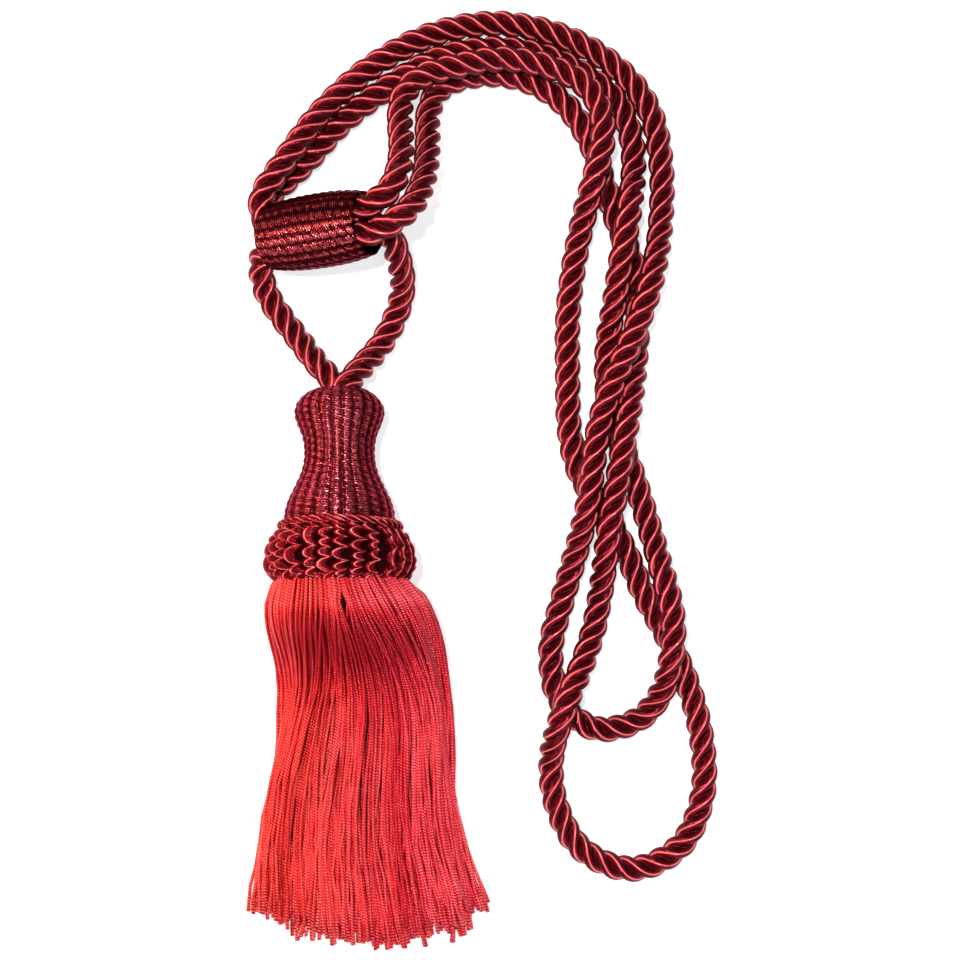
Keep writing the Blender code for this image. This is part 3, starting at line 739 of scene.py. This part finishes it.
foot_line = np.stack([FOOT_CORD_RADIUS * np.cos(foot_turns), FOOT_CORD_RADIUS * np.sin(foot_turns),
                      np.full(FOOT_CORD_RINGS, FOOT_CORD_STATION)], axis=1)
collar_cords.add(*laid_cord(foot_line, FOOT_CORD_SCALE, world_up))
collar = collar_cords.piece("crimped_collar")
collar.data.transform(tassel_matrix())
rest_on_table(collar, 0)
collar.data.materials.append(satin_cord(
    "crimped_satin_painted_line", deep=(0.28, 0.011, 0.018), red=(0.56, 0.028, 0.034), lit=(0.84, 0.240, 0.240),
    thread_rise=0.055 * MM, patchy=0.70, metal=0.8))
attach(collar, "root")
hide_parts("collar")

# ---------------------------------------------------------------------------------------------------------
# The skirt: a thick bundle of twisted rayon threads, bound in under the collar. They fall over the binding,
# sweep to the right and lie fanned out on the table, with uneven ends and a few strays.
SKIRT_SECTIONS = [              # y, left, right, underside, top, flatness (0 round, 1 level layers), in mm
    (-8.0, -25.6, 27.6, 5.5, 50.0, 0.0),
    (-12.0, -27.6, 32.0, 4.6, 50.5, 0.0),
    (-18.0, -28.8, 35.6, 3.3, 48.0, 0.05),
    (-25.0, -28.6, 38.3, 1.6, 43.0, 0.2),
    (-35.0, -26.6, 40.4, 0.8, 34.0, 0.4),
    (-46.0, -24.8, 41.4, 0.7, 26.0, 0.6),
    (-62.0, -26.0, 42.5, 0.7, 20.5, 0.8),
    (-88.0, -29.8, 42.6, 0.7, 16.5, 1.0),
    (-111.0, -33.0, 46.0, 0.7, 14.0, 1.0),
    (-134.0, -34.6, 51.5, 0.7, 12.5, 1.0),
    (-152.0, -35.2, 55.5, 0.7, 11.5, 1.0),
]
HEM = [                         # place across, place of the threads' ends, in mm
    (-37, -129.5), (-28, -134.5), (-12, -142), (0, -144.5), (29, -142.5), (46, -140.5), (55, -133),
]
LOWEST_END = -154.0             # mm, beyond which no thread goes
SPREAD_START = (-12.5, 3.2)     # mm, where a thread halfway up leaves the collar, and what the level adds
STRAY_EDGE = 0.9                # place across beyond which a thread may stray
STRAY_CHANCE = 0.16
PAINTED_SHADE_PLACE = (-2, -32)       # mm, the middle of a patch of painted shade on the bundle's steep slope
PAINTED_SHADE_SIZE = (40, 17)
THREADS = 780
THREAD_RADIUS = 0.68 * MM
THREAD_TWIST = 1.15             # mm of thread in which its twist goes round once
THREAD_POINTS = 16              # by which its way is drawn
THREAD_RINGS = 18               # of its mesh
ROOT_WIDTH = 23 * MM            # from the middle of the bound roots to their sides
ROOT_HEIGHT = 22 * MM           # and to their top
ROOT_STATION = -6.0 * MM
ROOT_TURN = 2.399963            # from one root to the next round the binding, in radians
LOCKS_ACROSS = 15
LOCKS_DEEP = 5
TUFTS_PER_HALF = 21
FALL_START = 9                  # mm below the origin where the bundle begins to spread
FALL_LENGTH = 136

skirt_edges = [smooth_line([(row[0], row[i], 0) for row in SKIRT_SECTIONS], 0.5) for i in range(1, 6)]


def skirt_section(y):
    """The section of the bundle at a place down its length, in mm."""
    return [np.interp(-y, -edge[:, 0], edge[:, 1]) for edge in skirt_edges]


random.seed(21)
locks = {}
for lock in [(i, j) for i in range(-1, LOCKS_ACROSS + 1) for j in range(-1, LOCKS_DEEP + 1)]:
    locks[lock] = {
        "centre": random.uniform(-0.2, 0.2),
        "pull": random.uniform(0.25, 0.6),
        "size": random.uniform(0.5, 1.6),
        "start": random.uniform(0, 6.3),
        "rate": random.uniform(0.035, 0.075),
        "lift": random.uniform(-0.9, 1.1),
        "hem": random.gauss(0, 2.4),
        "tone": random.random(),
    }
tufts = [random.gauss(0, 2.8) for _ in range(2 * TUFTS_PER_HALF + 2)]
thread_round = np.array([(math.cos(a), math.sin(a)) for a in np.arange(4) * math.pi / 2]) * THREAD_RADIUS
skirt_threads = Cords()
for thread in range(THREADS):
    # its root in the binding gives a thread its level and its place across the bundle, both from -1 to 1
    root_turn = thread * ROOT_TURN
    root_reach = ((thread + 0.5) / THREADS) ** 0.42
    root_across = root_reach * math.cos(root_turn)
    level = root_reach * math.sin(root_turn) * 0.995
    root = tassel_matrix() @ Vector((root_across * ROOT_WIDTH, -level * ROOT_HEIGHT, ROOT_STATION))
    round_width = math.sqrt(1 - level * level)
    across = root_across / round_width + random.gauss(0, 0.025)
    across = across if abs(across) < 1 else math.copysign(2 - abs(across), across)

    # it shares a lock with its neighbours, wanders a little, and ends in a tuft; a few at the sides stray
    drift = random.gauss(0, 1.8) * (1 - across * across)
    lock_column = math.floor((across + 1) / 2 * LOCKS_ACROSS)
    lock = locks[(lock_column, math.floor((level + 1) / 2 * LOCKS_DEEP))]
    lock_middle = (lock_column + 0.5 + lock["centre"]) / LOCKS_ACROSS * 2 - 1
    sway = [(random.uniform(0.2, 0.8), random.uniform(0, 6.3), random.uniform(0.02, 0.045)) for _ in range(2)]
    lift = random.gauss(0, 0.3)
    if abs(across) > STRAY_EDGE and random.random() < STRAY_CHANCE:
        stray = random.uniform(2, 6 + 2 * across)
    else:
        stray = random.gauss(0, 0.4)
    tuft = math.floor((across + 1) * TUFTS_PER_HALF)
    tuft_middle = (tuft + 0.5) / TUFTS_PER_HALF - 1
    hem_place = HEM[0][0] + (HEM[-1][0] - HEM[0][0]) * (across + 1) / 2
    own_length = random.gauss(0, 2.2) + lock["hem"] * 0.7 + tufts[tuft]
    last = max(LOWEST_END, np.interp(hem_place, *zip(*HEM)) + own_length)

    way = [np.array(root)]
    first = SPREAD_START[0] + SPREAD_START[1] * level
    for y in np.interp(np.linspace(0, 1, THREAD_POINTS), [0, 0.35, 1], [first, -40, last]):
        left, right, under, top, flat = skirt_section(y)
        fall = max(0.0, (-y - FALL_START) / FALL_LENGTH)
        gather = lock["pull"] * min(1, fall * 3) * (1 - 0.5 * fall) * (0.35 + 0.65 * max(0, level))
        place = across + (lock_middle - across) * gather
        place += (tuft_middle - place) * 0.6 * max(0.0, fall - 0.75) / 0.25
        flat_width = 1 - 0.16 * max(0.0, level) ** 2
        width = (right - left) / 2 * (round_width * (1 - flat) + flat_width * flat) - 0.7
        x = (left + right) / 2 + place * width
        x += sum(size * math.sin(start - rate * y * 6.3) * fall for size, start, rate in sway)
        x += lock["size"] * math.sin(lock["start"] - lock["rate"] * y) * min(1, fall * 2.5)
        x += math.copysign(stray, across) * fall ** 3 + drift * fall
        # the topmost threads part a little over a small dark gap
        aside = x - 2.5 + 0.3 * (y + 15)
        x += math.copysign(1.5, aside) * math.exp(-(aside / 3) ** 2 - ((y + 16) / 6) ** 2) * max(0, level)
        z = under + (level + 1) / 2 * (top - under - 1.2) + lift * (0.5 + 0.5 * min(1, fall * 2))
        z += (lock["lift"] + 0.9 * math.sin(lock["start"] + 0.08 * y)) * max(0, level) * min(1, fall * 4)
        way.append(np.array((x, y, max(z, 0.7))) * MM)

    # its rings stand closer together where it bends over the binding, and its cut end is frayed
    line = smooth_line(way, 2.5 * MM)
    ring_places = np.concatenate([np.linspace(0, 0.3, 8)[:-1], np.linspace(0.3, 1, THREAD_RINGS - 7)])
    kept = np.unique(np.round(ring_places * (len(line) - 1)).astype(int))
    run = kept * np.linalg.norm(line[1] - line[0])
    line = line[kept]
    widths = np.ones(len(line))
    widths[-2:] = 1.1, random.uniform(1.2, 1.8)
    turns = np.full(len(line), random.uniform(0, 1.5))
    points, quads, caps = swept_tube(line, thread_round, turns, widths)

    # its maps: the place in its twist, its tone, painted shade on the slope with painted light on the
    # shoulder, and its share of rose
    ring, corner = quads // len(thread_round), quads % len(thread_round)
    around = corner / len(thread_round)
    around[:, 1:3] = np.where(corner[:, 1:3] == 0, 1.0, around[:, 1:3])
    lay = np.stack([run[ring] / MM + random.uniform(0, THREAD_TWIST), around], axis=2)
    from_painted_shade = (line[:, :2] / MM - PAINTED_SHADE_PLACE) / PAINTED_SHADE_SIZE
    painted_lit_shoulder = np.exp(-((line[:, 1] / MM + 13) / 4) ** 2)
    # Painted shade on the steep slope below the shoulder, and painted light on the shoulder under the collar.
    pressed = np.exp(-from_painted_shade[:, 1] ** 2 - from_painted_shade[:, 0] ** 2) - 0.5 * painted_lit_shoulder
    luck = 0.55 * random.random() + 0.45 * lock["tone"]
    shade = np.stack([np.full(ring.shape, luck), pressed[ring]], axis=2)
    # The share of rose falls towards the left, which paints the warm cast of the left lamp; the rest differs
    # at random from thread to thread.
    rose_share_with_painted_warmth = np.clip(0.5 + 0.4 * across + 0.8 * (thread * 0.618 % 1 - 0.5), 0, 1)
    skirt_threads.add(points, quads, caps, {"lay": lay, "shade": shade, "tint": np.full(lay.shape, rose_share_with_painted_warmth)})
skirt = skirt_threads.piece("thread_skirt")
rest_on_table(skirt, 0.02 * MM)

skirt_finish = Finish("skirt_thread", 0.33)
thread_along, thread_around = skirt_finish.uv("lay")
thread_luck, thread_painted_shade_and_light = skirt_finish.uv("shade")
twist = ((thread_along / THREAD_TWIST + thread_around) * (2 * math.pi)).sin() * 0.5 + 0.5
# The twist is painted lighter on its crests and darker in its grooves, as painted highlight and shade; the
# luck and the noise give tone that differs at random.
thread_shade = thread_luck * 0.5 + (1 - twist) * 0.6 + skirt_finish.noise(120.0) * 0.4
thread_shade = thread_shade + thread_painted_shade_and_light * 0.95 - 0.36
orange_red = skirt_finish.ramp(
    thread_shade, (0.0, (1.0, 0.150, 0.105)), (0.38, (0.93, 0.038, 0.028)), (1.0, (0.43, 0.004, 0.009)))
rose_red = skirt_finish.ramp(
    thread_shade, (0.0, (1.0, 0.160, 0.180)), (0.38, (0.84, 0.028, 0.048)), (1.0, (0.36, 0.003, 0.015)))
skirt_finish.feed("Base Color", skirt_finish.mix(skirt_finish.uv("tint")[0], orange_red, rose_red))
skirt_finish.bump(twist, 0.32 * MM)
skirt_finish.feed("Metallic", 0.35)
skirt_finish.feed("Specular IOR Level", 0.3)
skirt.data.materials.append(skirt_finish.material)
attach(skirt, "root")
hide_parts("skirt")
